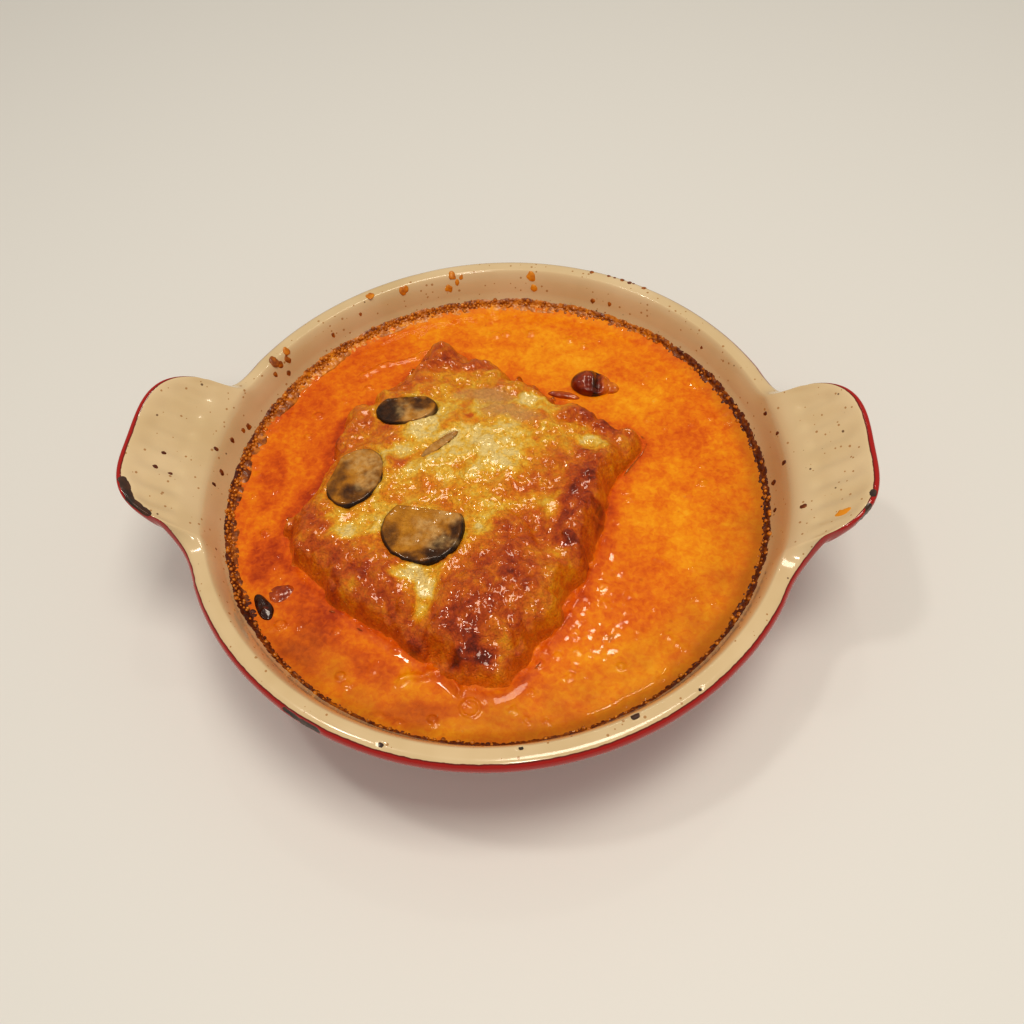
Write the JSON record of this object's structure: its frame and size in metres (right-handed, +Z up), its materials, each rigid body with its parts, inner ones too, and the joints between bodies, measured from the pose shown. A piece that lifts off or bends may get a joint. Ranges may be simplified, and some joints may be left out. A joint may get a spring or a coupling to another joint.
{
  "type": "lasagna in a gratin dish",
  "caption": "Portion of lasagna baked in orange tomato cream sauce under browned cheese with mushroom slices, in a round enamelled gratin dish with fluted ears.",
  "frame": {"origin": "centre of the dish's flat base, on the surface that it stands on", "axes": "+X along the two ears, +Y away from the eater, +Z up"},
  "size_m": [0.225, 0.1922, 0.0595],
  "materials": {
    "enamel": "glossy cream vitreous enamel with fine brown specks, dark red outside",
    "tomato_cream_sauce": "oily orange sauce, glossy, mottled yellow and red",
    "baked_cheese": "melted cheese, pale yellow on top and fried golden to red brown, oily",
    "mushroom": "baked mushroom, olive brown with a dark rim",
    "fried_cheese": "dark fried cheese, oily"
  },
  "bodies": {
    "root": {"gratin_dish": "enamel", "sauce": "tomato_cream_sauce", "lasagna": "baked_cheese", "mushroom_front": "mushroom", "mushroom_left": "mushroom", "mushroom_back": "mushroom", "mushroom_sliver": "mushroom", "fried_nub": "fried_cheese"}
  },
  "joints": []
}
